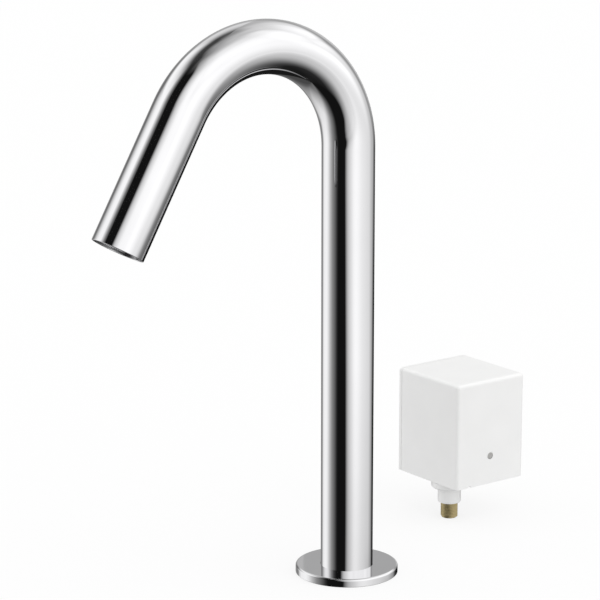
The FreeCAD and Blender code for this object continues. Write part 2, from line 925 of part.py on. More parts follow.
def coil_bobbin():
    inner = core_diameter / 2 + seat_gap
    hub = inner + bobbin_wall
    rim = coil_diameter / 2 + bobbin_rim
    outline = [
        (inner, coil_bottom),
        (rim, coil_bottom),
        (rim, coil_bottom + bobbin_wall),
        (hub, coil_bottom + bobbin_wall),
        (hub, coil_top - bobbin_wall),
        (rim, coil_top - bobbin_wall),
        (rim, coil_top),
        (inner, coil_top),
    ]
    return turned(outline, inlet_x, inlet_y)


def coil_winding():
    inner = core_diameter + 2 * (seat_gap + bobbin_wall + slip)
    low = coil_bottom + bobbin_wall + slip
    return ring(coil_diameter, inner, low, coil_top - bobbin_wall - slip, inlet_x, inlet_y)


def coil_yoke():
    """Folded strip around the coil: foot, side and top."""
    half = yoke_width / 2
    reach = coil_diameter / 2 + bobbin_rim + wire_gap
    front = inlet_x + reach + yoke_thickness
    back = inlet_x - reach
    low = bonnet_top
    high = coil_top + yoke_thickness
    strip = block(back, front, inlet_y - half, inlet_y + half, low, high)
    room = block(back - 1, inlet_x + reach, inlet_y - half - 1, inlet_y + half + 1, coil_bottom, coil_top)
    strip = strip.cut(room)
    return strip.cut(rod(core_diameter + 2 * seat_gap, low - 1, high + 1, inlet_x, inlet_y))


def yoke_nut():
    low = coil_top + yoke_thickness
    nut = hexagon(yoke_nut_across_flats, low, low + yoke_nut_height, inlet_x, inlet_y)
    return nut.cut(rod(core_diameter + 2 * slip, low - 1, low + yoke_nut_height + 1, inlet_x, inlet_y))


def outlet_collet():
    """Release ring of the push-in hose socket, seated in the manifold's mouth."""
    rim = collet_rim_diameter
    low = plate_top - collet_rim_height
    return ring(rim, outlet_bore, low, plate_top, outlet_x, inlet_y)


# ---- control box: power and electronics ----
def battery_box():
    """Corners of the battery: x0, x1, y0, y1, z0."""
    x1 = cover_inside - battery_from_front
    y0 = battery_gap
    return x1 - battery_length, x1, y0, y0 + battery_width, plate_top + tray_wall


def battery():
    """Two cells in one wrapped pack."""
    x0, x1, y0, y1, z0 = battery_box()
    middle = (y0 + y1) / 2
    radius = battery_width / 2
    cells = [
        Part.makeCylinder(radius, battery_height, Vector(x0 + radius, middle, z0)),
        Part.makeCylinder(radius, battery_height, Vector(x1 - radius, middle, z0)),
        block(x0 + radius, x1 - radius, y0, y1, z0, z0 + battery_height - 2.0),
    ]
    return cells[0].fuse(cells[1:]).removeSplitter()


def battery_tray():
    """Low open box around the battery's foot."""
    x0, x1, y0, y1, z0 = battery_box()
    gap = wire_gap
    outer = rounded_block(
        x0 - gap - tray_wall,
        x1 + gap + tray_wall,
        y0 - gap - tray_wall,
        y1 + gap + tray_wall,
        plate_top,
        plate_top + tray_height,
        battery_width / 2,
    )
    room = rounded_block(
        x0 - gap,
        x1 + gap,
        y0 - gap,
        y1 + gap,
        z0,
        plate_top + tray_height + 1,
        battery_width / 2 - 0.5,
    )
    return outer.cut(room)


def battery_contacts():
    """Two sprung discs on top of the cells."""
    x0, x1, y0, y1, z0 = battery_box()
    middle = (y0 + y1) / 2
    top = z0 + battery_height
    discs = []
    for x in (x0 + battery_width / 2, x1 - battery_width / 2):
        discs.append(rod(contact_diameter, top, top + contact_thickness, x, middle))
    return Part.makeCompound(discs)


def pcb_back():
    return chassis_inside + pcb_standoff


def pcb_posts():
    z0 = plate_top + pcb_above_plate
    reach = pcb_width / 2 - post_diameter / 2
    low = z0 + post_diameter / 2
    high = z0 + pcb_height - post_diameter / 2
    return [(-reach, low), (reach, low), (-reach, high), (reach, high)]


def circuit_board():
    z0 = plate_top + pcb_above_plate
    x0 = pcb_back()
    half = pcb_width / 2
    return block(x0, x0 + pcb_thickness, -half, half, z0, z0 + pcb_height)


def board_parts():
    """Processor, driver, capacitor and plug socket on the front of the board."""
    x0 = pcb_back() + pcb_thickness
    z0 = plate_top + pcb_above_plate
    side = -battery_gap
    socket_y = side - plug_width
    socket_z = z0 + plug_above_edge
    row_y = socket_y - processor_side
    processor_z = z0 + pcb_height - board_margin - processor_side
    driver_z = z0 + board_margin
    processor = block(x0, x0 + processor_height, row_y, socket_y, processor_z, processor_z + processor_side)
    driver = block(x0, x0 + driver_height, row_y, row_y + driver_width, driver_z, driver_z + driver_length)
    storage_y = side - storage_diameter / 2
    storage_z = processor_z + processor_side / 2
    storage = rod_along_x(storage_diameter, x0, x0 + storage_height, storage_y, storage_z)
    socket = block(x0, x0 + plug_reach, socket_y, side, socket_z, socket_z + plug_height)
    room = block(
        x0 + plug_wall,
        x0 + plug_reach + 1,
        socket_y + plug_wall,
        side - plug_wall,
        socket_z + plug_wall,
        socket_z + plug_height - plug_wall,
    )
    socket = socket.cut(room)
    return Part.makeCompound([processor, driver, storage, socket])


def cable_grommet():
    """Rubber grommet in the underside, where the sensor cable plugs in."""
    radius = grommet_diameter / 2
    bore = grommet_bore / 2
    outline = [
        (bore, plate_bottom - grommet_rim),
        (radius + 1.0, plate_bottom - grommet_rim),
        (radius + 1.0, plate_bottom),
        (radius - slip, plate_bottom),
        (radius - slip, plate_top),
        (bore, plate_top),
    ]
    return turned(outline, outlet_x, grommet_y)


def main():
    os.makedirs("parts", exist_ok=True)
    upright = {
        "spout_tube": spout_tube,
        "base_flange": base_flange,
        "base_seal": base_seal,
        "tube_insert": tube_insert,
        "threaded_shank": threaded_shank,
        "deck_gasket": deck_gasket,
        "clamp_washer": clamp_washer,
        "fixing_nut": fixing_nut,
        "shank_plug": shank_plug,
        "water_hose": water_hose,
        "hose_tail": hose_tail,
        "sensor_cable": sensor_cable,
        "cable_plug": cable_plug,
    }
    at_outlet = {
        "outlet_holder": outlet_holder,
        "aerator_housing": aerator_housing,
        "aerator_grid": aerator_grid,
        "aerator_screen": aerator_screen,
        "aerator_seal": aerator_seal,
        "sensor_window": sensor_window,
        "sensor_board": sensor_board,
    }
    in_box = {
        "box_cover": box_cover,
        "cover_screw": cover_screw,
        "box_chassis": box_chassis,
        "inlet_collar": inlet_collar,
        "inlet_stub": inlet_stub,
        "inlet_strainer": inlet_strainer,
        "check_poppet": check_poppet,
        "check_guide": check_guide,
        "check_spring": check_spring,
        "valve_body": valve_body,
        "valve_piston": valve_piston,
        "piston_seal": piston_seal,
        "valve_bonnet": valve_bonnet,
        "bonnet_screws": bonnet_screws,
        "core_tube": core_tube,
        "core_stop": core_stop,
        "plunger": plunger,
        "plunger_spring": plunger_spring,
        "coil_bobbin": coil_bobbin,
        "coil_winding": coil_winding,
        "coil_yoke": coil_yoke,
        "yoke_nut": yoke_nut,
        "outlet_collet": outlet_collet,
        "battery": battery,
        "battery_tray": battery_tray,
        "battery_contacts": battery_contacts,
        "circuit_board": circuit_board,
        "board_parts": board_parts,
        "cable_grommet": cable_grommet,
    }
    for name, make in upright.items():
        save(name, make())
    for name, make in at_outlet.items():
        save(name, make(), outlet_place)
    save("infrared_emitter", diode(-diode_spacing / 2), outlet_place)
    save("infrared_receiver", diode(diode_spacing / 2), outlet_place)
    for name, make in in_box.items():
        save(name, make(), box_place)


main()
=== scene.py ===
import json
import math

import bpy
import bmesh
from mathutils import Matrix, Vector

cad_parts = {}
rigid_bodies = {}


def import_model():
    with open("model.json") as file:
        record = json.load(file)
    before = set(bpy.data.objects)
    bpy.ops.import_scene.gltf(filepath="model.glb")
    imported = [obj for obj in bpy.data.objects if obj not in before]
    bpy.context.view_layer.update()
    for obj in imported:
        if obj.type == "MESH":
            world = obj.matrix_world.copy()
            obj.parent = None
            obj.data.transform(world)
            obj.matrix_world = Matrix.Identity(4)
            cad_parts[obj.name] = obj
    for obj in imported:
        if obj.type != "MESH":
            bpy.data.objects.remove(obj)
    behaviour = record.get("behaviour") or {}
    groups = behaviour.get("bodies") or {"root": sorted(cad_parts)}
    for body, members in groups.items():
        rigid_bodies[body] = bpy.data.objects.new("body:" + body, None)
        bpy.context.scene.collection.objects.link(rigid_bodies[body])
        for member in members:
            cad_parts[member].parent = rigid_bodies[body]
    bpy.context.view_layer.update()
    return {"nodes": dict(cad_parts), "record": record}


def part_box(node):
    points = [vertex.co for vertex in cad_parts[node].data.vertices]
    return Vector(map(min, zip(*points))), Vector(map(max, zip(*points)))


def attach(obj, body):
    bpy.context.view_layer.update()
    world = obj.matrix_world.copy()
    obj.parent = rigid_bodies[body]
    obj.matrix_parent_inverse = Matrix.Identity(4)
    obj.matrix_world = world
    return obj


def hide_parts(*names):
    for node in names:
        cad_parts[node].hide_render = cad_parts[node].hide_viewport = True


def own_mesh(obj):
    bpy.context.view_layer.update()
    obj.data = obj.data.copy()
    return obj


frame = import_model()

MM = 0.001
NEAR = 1e-5        # metres within which a face or an edge lies at a place
MERGED = 1e-7      # metres within which two vertices are one

# ---- sizes of the tap, in metres, read from the frame or repeated from its drawing ----
TUBE_RADIUS = 13.98 * MM     # a hair under the drawing's 14, because the facets here are finer than its own
TUBE_WALL = 1.2 * MM
BEND_RADIUS = 57.0 * MM
BEND_ANGLE = math.radians(150)
BEND_START = 232.5 * MM
ARM_LENGTH = 75.0 * MM
TUBE_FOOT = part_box("spout_tube")[0][2]
FLANGE_RADIUS = 27.5 * MM
FLANGE_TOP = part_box("base_flange")[1][2]
FLANGE_ROUNDING = 1.2 * MM
ROUND_STEPS = 128
BEND_STEPS = 96

# the control box: its own axes run through its middle and up from its lower edge
BOX_X = -46.0 * MM
BOX_Y = 118.5 * MM
BOX_FLOOR = 21.9 * MM
BOX_DEPTH = 52.0 * MM
BOX_WIDTH = 49.0 * MM
BOX_HEIGHT = 61.0 * MM
BOX_FRONT = BOX_X + BOX_DEPTH / 2
BOX_WALL = 2.0 * MM
BOX_ROUNDING = 2.0 * MM
BOX_SEAM = 0.3 * MM
SCREW_HEIGHT = BOX_FLOOR + 16.3 * MM
SCREW_RADIUS = 1.95 * MM
INLET_X = BOX_X + 7.0 * MM
INLET_Y = BOX_Y - 13.9 * MM
COLLAR_FOOT = BOX_FLOOR - 12.9 * MM

# a thread's ridge, as shares of its pitch
THREAD_DEPTH = 0.55
THREAD_HALF_FOOT = 0.42
THREAD_HALF_CREST = 0.07
THREAD_SUNK = 0.05 * MM      # the ridge's foot lies this deep in the core
THREAD_EDGE = 0.3 * MM

# ---- the photograph's camera ----
CAMERA_PLACE = (1113.8 * MM, -867.7 * MM, 492.7 * MM)
CAMERA_AZIMUTH = math.radians(53.1)
CAMERA_PITCH = 0.238         # radians below level
FOCAL_PIXELS = 2757.0
FRAME_PIXELS = 600.0
SENSOR_WIDTH = 36.0


# ---- small tools ----
def deselect():
    if bpy.context.object and bpy.context.object.mode != "OBJECT":
        bpy.ops.object.mode_set(mode="OBJECT")
    bpy.ops.object.select_all(action="DESELECT")


def choose(piece):
    """Leaves edit mode and makes a piece the active one and the only one selected."""
    deselect()
    piece.select_set(True)
    bpy.context.view_layer.objects.active = piece


def begin(name):
    """Names the primitive just added, and its mesh."""
    piece = bpy.context.object
    piece.name = name
    piece.data.name = name
    return piece


def set_down(piece):
    """Puts a piece's place into its mesh."""
    choose(piece)
    bpy.ops.object.transform_apply(location=True, rotation=True, scale=True)


def pick(piece, kind, test):
    """Selects the edges or faces of a piece in edit mode whose middle passes a test."""
    bpy.ops.mesh.select_mode(type=kind)
    bpy.ops.mesh.select_all(action="DESELECT")
    mesh = bmesh.from_edit_mesh(piece.data)
    for part in mesh.edges if kind == "EDGE" else mesh.faces:
        middle = sum((corner.co for corner in part.verts), Vector()) / len(part.verts)
        part.select_set(test(middle))
    mesh.select_flush_mode()
    bmesh.update_edit_mesh(piece.data)


def close_up(capped=False):
    """In edit mode: merges doubles, caps open ends if asked to, turns the faces outwards and selects all."""
    bpy.ops.mesh.select_all(action="SELECT")
    bpy.ops.mesh.remove_doubles(threshold=MERGED)
    bpy.ops.mesh.select_all(action="SELECT")
    if capped:
        bpy.ops.mesh.fill_holes(sides=0)
        bpy.ops.mesh.select_all(action="SELECT")
    bpy.ops.mesh.normals_make_consistent(inside=False)
    bpy.ops.mesh.select_all(action="SELECT")


def modifier(piece, kind, **settings):
    """Gives a piece a modifier and applies it."""
    made = piece.modifiers.new(kind.lower(), kind)
    for key, value in settings.items():
        setattr(made, key, value)
    choose(piece)
    bpy.ops.object.modifier_apply(modifier=made.name)


def thicken(piece, wall):
    """Gives a shell its wall, inwards."""
    modifier(piece, "SOLIDIFY", thickness=wall, offset=-1.0, use_even_offset=True)


def break_edges(piece, width):
    modifier(piece, "BEVEL", width=width, segments=3, limit_method="ANGLE", angle_limit=math.radians(50))


def cut(piece, tool):
    """Takes a tool's form out of a piece and throws the tool away."""
    modifier(piece, "BOOLEAN", operation="DIFFERENCE", solver="EXACT", object=tool)
    bpy.data.objects.remove(tool)


def smooth(piece, degrees=35):
    """Shades a piece smooth but for its edges sharper than an angle."""
    choose(piece)
    bpy.ops.object.shade_smooth_by_angle(angle=math.radians(degrees))
    # the wide faces set the shading, so that the small bevels do not tilt it
    modifier(piece, "WEIGHTED_NORMAL", mode="FACE_AREA", weight=100, keep_sharp=True)


def join(piece, other):
    """Makes another piece part of the first."""
    choose(piece)
    other.select_set(True)
    bpy.ops.object.join()


# ---- forms ----
def bar(name, radius, length, middle, sides):
    """Round bar along X."""
    deselect()
    bpy.ops.mesh.primitive_cylinder_add(
        vertices=sides, radius=radius, depth=length, location=middle, rotation=(0, math.pi / 2, 0)
    )
    piece = begin(name)
    set_down(piece)
    return piece


def block(name, size, middle):
    deselect()
    bpy.ops.mesh.primitive_cube_add(size=1.0, location=middle)
    piece = begin(name)
    bpy.ops.transform.resize(value=size)
    set_down(piece)
    return piece


def arc(x, z, radius, start, end, steps=8):
    """Corners on an arc about x, z between two angles in degrees."""
    corners = []
    for k in range(steps + 1):
        turn = math.radians(start + (end - start) * k / steps)
        corners.append((x + radius * math.cos(turn), z + radius * math.sin(turn)))
    return corners


def drawn(name, corners):
    """Closed line through (x, z) corners in metres, drawn in a plane's emptied mesh; left in edit mode."""
    deselect()
    bpy.ops.mesh.primitive_plane_add(size=1.0, location=(0, 0, 0))
    piece = begin(name)
    bpy.ops.object.mode_set(mode="EDIT")
    mesh = bmesh.from_edit_mesh(piece.data)
    bmesh.ops.delete(mesh, geom=list(mesh.verts), context="VERTS")
    row = [mesh.verts.new((x, 0, z)) for x, z in corners]
    for first, second in zip(row, row[1:] + row[:1]):
        mesh.edges.new((first, second))
    bmesh.update_edit_mesh(piece.data)
    bpy.ops.mesh.select_all(action="SELECT")
    return piece


def lathe(name, corners, x=0.0, y=0.0, steps=96):
    """Turned piece: a closed line of (radius, height) corners, spun about the vertical through x, y."""
    piece = drawn(name, corners)
    bpy.ops.mesh.spin(steps=steps, angle=2 * math.pi, center=(0, 0, 0), axis=(0, 0, 1))
    close_up()
    bpy.ops.transform.translate(value=(x, y, 0))
    bpy.ops.object.mode_set(mode="OBJECT")
    smooth(piece)
    return piece


def wound(name, corners, pitch, height, x, y, steps):
    """Coil: a closed line of (radius, height) corners, wound up by a height about the vertical through x, y.

    Steps are those of one round.
    """
    turns = height / pitch
    rounds = math.ceil(turns)
    piece = drawn(name, corners)
    bpy.ops.object.mode_set(mode="OBJECT")
    modifier(
        piece,
        "SCREW",
        axis="Z",
        angle=2 * math.pi * turns / rounds,
        screw_offset=height / rounds,
        iterations=rounds,
        steps=steps,
        render_steps=steps,
    )
    bpy.ops.object.mode_set(mode="EDIT")
    close_up(capped=True)
    bpy.ops.transform.translate(value=(x, y, 0))
    bpy.ops.object.mode_set(mode="OBJECT")
    smooth(piece)
    return piece


def thread(name, radius, pitch, low, high, x, y, steps):
    """Ridge of a screw thread whose crests reach the radius."""
    root = radius - THREAD_DEPTH * pitch - THREAD_SUNK
    foot = THREAD_HALF_FOOT * pitch
    crest = THREAD_HALF_CREST * pitch
    middle = low + foot
    corners = [
        (root, middle - foot),
        (radius, middle - crest),
        (radius, middle + crest),
        (root, middle + foot),
    ]
    return wound(name, corners, pitch, high - low - 2 * foot, x, y, steps)


def spring(name, outside, wire, pitch, low, high, x, y):
    """Coil spring between two heights; outside and wire are radii."""
    corners = arc(outside - wire, low + wire, wire, 0, 315, steps=7)
    return wound(name, corners, pitch, high - low - 2 * wire, x, y, steps=24)


# ---- finishes ----
def group_of(name, inputs, outputs):
    """Empty shader node group with float or vector sockets."""
    group = bpy.data.node_groups.new(name, "ShaderNodeTree")
    for label, kind, value in inputs:
        socket = group.interface.new_socket(name=label, in_out="INPUT", socket_type=kind)
        if value is not None:
            socket.default_value = value
    for label, kind in outputs:
        group.interface.new_socket(name=label, in_out="OUTPUT", socket_type=kind)
    return group, group.nodes.new("NodeGroupInput"), group.nodes.new("NodeGroupOutput")


def mottle_group():
    """Soft uneven value between Low and High, from noise."""
    group, way_in, way_out = group_of(
        "mottle",
        [
            ("Vector", "NodeSocketVector", None),
            ("Scale", "NodeSocketFloat", 200.0),
            ("Low", "NodeSocketFloat", 0.0),
            ("High", "NodeSocketFloat", 1.0),
        ],
        [("Value", "NodeSocketFloat")],
    )
    nodes, links = group.nodes, group.links
    noise = nodes.new("ShaderNodeTexNoise")
    noise.inputs["Detail"].default_value = 6.0
    spread = nodes.new("ShaderNodeMapRange")
    spread.inputs["From Min"].default_value = 0.3
    spread.inputs["From Max"].default_value = 0.7
    links.new(way_in.outputs["Vector"], noise.inputs["Vector"])
    links.new(way_in.outputs["Scale"], noise.inputs["Scale"])
    links.new(noise.outputs["Fac"], spread.inputs["Value"])
    links.new(way_in.outputs["Low"], spread.inputs["To Min"])
    links.new(way_in.outputs["High"], spread.inputs["To Max"])
    links.new(spread.outputs["Result"], way_out.inputs["Value"])
    return group


def grain_group():
    """Moulded grain: a fine height made of small cells and noise."""
    group, way_in, way_out = group_of(
        "moulded_grain",
        [("Vector", "NodeSocketVector", None), ("Scale", "NodeSocketFloat", 2500.0)],
        [("Height", "NodeSocketFloat")],
    )
    nodes, links = group.nodes, group.links
    cells = nodes.new("ShaderNodeTexVoronoi")
    noise = nodes.new("ShaderNodeTexNoise")
    noise.inputs["Detail"].default_value = 3.0
    both = nodes.new("ShaderNodeMath")
    both.operation = "ADD"
    for texture in (cells, noise):
        links.new(way_in.outputs["Vector"], texture.inputs["Vector"])
        links.new(way_in.outputs["Scale"], texture.inputs["Scale"])
    links.new(cells.outputs["Distance"], both.inputs[0])
    links.new(noise.outputs["Fac"], both.inputs[1])
    links.new(both.outputs[0], way_out.inputs["Height"])
    return group


def turning_group():
    """Fine lathe marks: bands along Z, broken up a little."""
    group, way_in, way_out = group_of(
        "turning_marks",
        [("Vector", "NodeSocketVector", None), ("Scale", "NodeSocketFloat", 3000.0)],
        [("Height", "NodeSocketFloat")],
    )
    nodes, links = group.nodes, group.links
    squeeze = nodes.new("ShaderNodeMapping")
    squeeze.inputs["Scale"].default_value = (0.04, 0.04, 1.0)
    noise = nodes.new("ShaderNodeTexNoise")
    noise.inputs["Detail"].default_value = 4.0
    links.new(way_in.outputs["Vector"], squeeze.inputs["Vector"])
    links.new(squeeze.outputs["Vector"], noise.inputs["Vector"])
    links.new(way_in.outputs["Scale"], noise.inputs["Scale"])
    links.new(noise.outputs["Fac"], way_out.inputs["Height"])
    return group


MOTTLE = mottle_group()
GRAIN = grain_group()
TURNING = turning_group()


class Finish:
    """One procedural material with its object coordinates and its Principled shader at hand."""

    def __init__(self, slot):
        self.slot = slot
        self.material = bpy.data.materials.new(slot)
        self.material.use_nodes = True
        self.nodes = self.material.node_tree.nodes
        self.links = self.material.node_tree.links
        self.shader = self.nodes["Principled BSDF"]
        self.place = self.nodes.new("ShaderNodeTexCoord").outputs["Object"]

    def set(self, **values):
        for key, value in values.items():
            self.shader.inputs[key].default_value = value
        return self

    def use(self, group, **values):
        node = self.nodes.new("ShaderNodeGroup")
        node.node_tree = group
        self.links.new(self.place, node.inputs["Vector"])
        for key, value in values.items():
            node.inputs[key].default_value = value
        return node

    def tint(self, dark, light, scale):
        """Base colour that wanders between two close shades."""
        mask = self.use(MOTTLE, Scale=scale)
        mix = self.nodes.new("ShaderNodeMix")
        mix.data_type = "RGBA"
        mix.inputs["A"].default_value = (*dark, 1)
        mix.inputs["B"].default_value = (*light, 1)
        self.links.new(mask.outputs["Value"], mix.inputs["Factor"])
        self.links.new(mix.outputs["Result"], self.shader.inputs["Base Color"])
        return self

    def rough(self, low, high, scale):
        """Roughness that wanders between two values."""
        mask = self.use(MOTTLE, Scale=scale, Low=low, High=high)
        self.links.new(mask.outputs["Value"], self.shader.inputs["Roughness"])
        return self

    def bump(self, group, scale, strength, distance):
        height = self.use(group, Scale=scale)
        bump = self.nodes.new("ShaderNodeBump")
        bump.inputs["Strength"].default_value = strength
        bump.inputs["Distance"].default_value = distance
        self.links.new(height.outputs["Height"], bump.inputs["Height"])
        self.links.new(bump.outputs["Normal"], self.shader.inputs["Normal"])
        return self


def make_finishes():
    """One material for each of the record's slots."""
    chrome = Finish("chrome").set(Metallic=1.0)
    chrome.tint((0.812, 0.810, 0.820), (0.832, 0.830, 0.840), 40.0).rough(0.02, 0.035, 120.0)
    brass = Finish("brass").set(Metallic=1.0)
    brass.tint((0.47, 0.385, 0.195), (0.56, 0.46, 0.245), 260.0).rough(0.44, 0.56, 500.0)
    brass.bump(TURNING, 2600.0, 0.3, 0.00004)
    nickel = Finish("nickel").set(Metallic=1.0)
    nickel.tint((0.48, 0.475, 0.46), (0.56, 0.555, 0.54), 300.0).rough(0.30, 0.42, 700.0)
    nickel.bump(TURNING, 3000.0, 0.2, 0.00003)
    steel = Finish("steel").set(Metallic=1.0)
    steel.tint((0.50, 0.51, 0.52), (0.60, 0.61, 0.62), 300.0).rough(0.25, 0.4, 700.0)
    steel.bump(TURNING, 2800.0, 0.3, 0.00004)
    copper = Finish("copper_wire").set(Metallic=0.9)
    copper.tint((0.42, 0.15, 0.06), (0.58, 0.24, 0.10), 800.0).rough(0.25, 0.35, 900.0)
    copper.bump(TURNING, 3600.0, 0.8, 0.0001)
    rubber = Finish("black_rubber").tint((0.018, 0.018, 0.018), (0.032, 0.032, 0.032), 400.0)
    rubber.rough(0.6, 0.8, 700.0).bump(GRAIN, 1800.0, 0.3, 0.00005)
    black = Finish("black_plastic").tint((0.022, 0.022, 0.024), (0.034, 0.034, 0.036), 300.0)
    black.rough(0.38, 0.5, 500.0).bump(GRAIN, 2600.0, 0.25, 0.00004)
    grey = Finish("grey_plastic").tint((0.36, 0.37, 0.38), (0.41, 0.42, 0.43), 200.0)
    grey.rough(0.42, 0.55, 500.0).bump(GRAIN, 2400.0, 0.25, 0.00004)
    white = Finish("white_plastic").tint((0.865, 0.865, 0.86), (0.885, 0.885, 0.88), 60.0)
    white.rough(0.28, 0.36, 300.0).bump(GRAIN, 1800.0, 0.08, 0.00003)
    hose = Finish("hose_plastic").tint((0.62, 0.65, 0.66), (0.72, 0.74, 0.75), 150.0)
    hose.rough(0.35, 0.45, 300.0)
    window = Finish("dark_window").set(IOR=1.5)
    window.tint((0.010, 0.004, 0.008), (0.02, 0.008, 0.014), 100.0).rough(0.05, 0.1, 200.0)
    board = Finish("green_laminate").tint((0.012, 0.09, 0.035), (0.03, 0.17, 0.07), 900.0)
    board.rough(0.3, 0.45, 600.0)
    wrap = Finish("battery_wrap").tint((0.03, 0.05, 0.10), (0.05, 0.08, 0.15), 80.0)
    wrap.rough(0.22, 0.35, 300.0)
    made = [chrome, brass, nickel, steel, copper, rubber, black, grey, white, hose, window, board, wrap]
    return {one.slot: one.material for one in made}


FINISHES = make_finishes()


def dress_frame():
    """Every CAD node gets the finish of its slot."""
    for part in frame["record"]["subparts"]:
        node = frame["nodes"][part["node"]]
        if not node.material_slots:
            node.data.materials.append(None)
        for place in node.material_slots:
            place.material = FINISHES[part["material_slot"]]


def stand_in_for(piece, body, slot, node):
    """Dresses a finished piece and puts it on its body in a CAD node's stead."""
    piece.data.materials.clear()
    piece.data.materials.append(FINISHES[slot])
    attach(piece, body)
    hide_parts(node)


# ---- spout and flange ----
def model_spout():
    """The bent tube: a circle carried up, spun round the bend and carried along the arm."""
    deselect()
    bpy.ops.mesh.primitive_circle_add(
        vertices=ROUND_STEPS, radius=TUBE_RADIUS, fill_type="NOTHING", location=(0, 0, TUBE_FOOT)
    )
    piece = begin("spout")
    set_down(piece)
    bpy.ops.object.mode_set(mode="EDIT")
    bpy.ops.mesh.select_all(action="SELECT")
    bpy.ops.mesh.extrude_region_move(TRANSFORM_OT_translate={"value": (0, 0, BEND_START - TUBE_FOOT)})
    bpy.ops.mesh.spin(
        steps=BEND_STEPS,
        angle=BEND_ANGLE,
        center=(0, -BEND_RADIUS, BEND_START),
        axis=(-1, 0, 0),
    )
    along = Vector((0, -math.sin(BEND_ANGLE), math.cos(BEND_ANGLE))) * ARM_LENGTH
    bpy.ops.mesh.extrude_region_move(TRANSFORM_OT_translate={"value": along})
    close_up()
    bpy.ops.object.mode_set(mode="OBJECT")
    thicken(piece, TUBE_WALL)
    break_edges(piece, 0.25 * MM)
    smooth(piece, 40)
    stand_in_for(piece, "tap", "chrome", "spout_tube")


def model_flange():
    """The disc at the foot, with a rounded rim, the tube's seat and the groove of the seal."""
    seat = TUBE_RADIUS + 0.1 * MM
    hole = 11.4 * MM
    groove_in, groove_out, groove_top = 18.5 * MM, 24.5 * MM, 1.2 * MM
    edge = 0.2 * MM
    corners = [(hole, 0), (groove_in, 0), (groove_in, groove_top), (groove_out, groove_top), (groove_out, 0)]
    corners += [(FLANGE_RADIUS - edge, 0), (FLANGE_RADIUS, edge)]
    corners += arc(FLANGE_RADIUS - FLANGE_ROUNDING, FLANGE_TOP - FLANGE_ROUNDING, FLANGE_ROUNDING, 0, 90)
    corners += [(seat + edge, FLANGE_TOP), (seat, FLANGE_TOP - edge), (seat, TUBE_FOOT), (hole, TUBE_FOOT)]
    piece = lathe("flange", corners, steps=ROUND_STEPS)
    stand_in_for(piece, "tap", "chrome", "base_flange")


# ---- threads and springs ----
def model_shank():
    """The threaded shank below the flange."""
    low, high = (corner[2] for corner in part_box("threaded_shank"))
    radius, bore, pitch = 11.0 * MM, 8.8 * MM, 1.5 * MM
    core = radius - THREAD_DEPTH * pitch
    corners = [
        (bore, low),
        (core - THREAD_EDGE, low),
        (core, low + THREAD_EDGE),
        (core, high - THREAD_EDGE),
        (core - THREAD_EDGE, high),
        (bore, high),
    ]
    piece = lathe("shank", corners)
    ridge = thread("shank_thread", radius, pitch, low + THREAD_EDGE, high - THREAD_EDGE, 0.0, 0.0, steps=48)
    join(piece, ridge)
    stand_in_for(piece, "tap", "brass", "threaded_shank")


def model_stub():
    """The box's inlet pipe: thread below the collar, smooth above, with the check valve's seat inside."""
    radius, bore, throat = 4.865 * MM, 3.2 * MM, 2.2 * MM
    pitch = 0.907 * MM
    core = radius - THREAD_DEPTH * pitch
    smooth_radius = 4.665 * MM
    low, top = 0.0, BOX_FLOOR + 9.7 * MM
    thread_low = 0.25 * MM
    seat_top = BOX_FLOOR - 6.0 * MM
    seat_low = seat_top - 1.0 * MM
    corners = [
        (bore, low),
        (core - THREAD_EDGE, low),
        (core, low + THREAD_EDGE),
        (core, COLLAR_FOOT),
        (smooth_radius, COLLAR_FOOT + THREAD_EDGE),
        (smooth_radius, top),
        (bore, top),
        (bore, seat_top),
        (throat, seat_top),
        (throat, seat_low),
        (bore, seat_low),
    ]
    piece = lathe("stub", corners, INLET_X, INLET_Y)
    join(piece, thread("stub_thread", radius, pitch, thread_low, COLLAR_FOOT, INLET_X, INLET_Y, steps=56))
    stand_in_for(piece, "tap", "brass", "inlet_stub")


def model_springs():
    """The springs of the check valve and of the plunger, wound inside the sleeves of the drawing.
    """
    wire, pitch = 0.25 * MM, 1.1 * MM
    springs = (
        ("check_coil", "check_spring", "check_lift", 1.5 * MM),
        ("plunger_coil", "plunger_spring", "plunger_lift", 1.8 * MM),
    )
    for name, node, joint, travel in springs:
        low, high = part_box(node)
        outside = (high[0] - low[0]) / 2
        x, y = (low[0] + high[0]) / 2, (low[1] + high[1]) / 2
        piece = spring(name, outside, wire, pitch, low[2], high[2], x, y)
        stand_in_for(piece, "tap", "steel", node)
        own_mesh(piece)


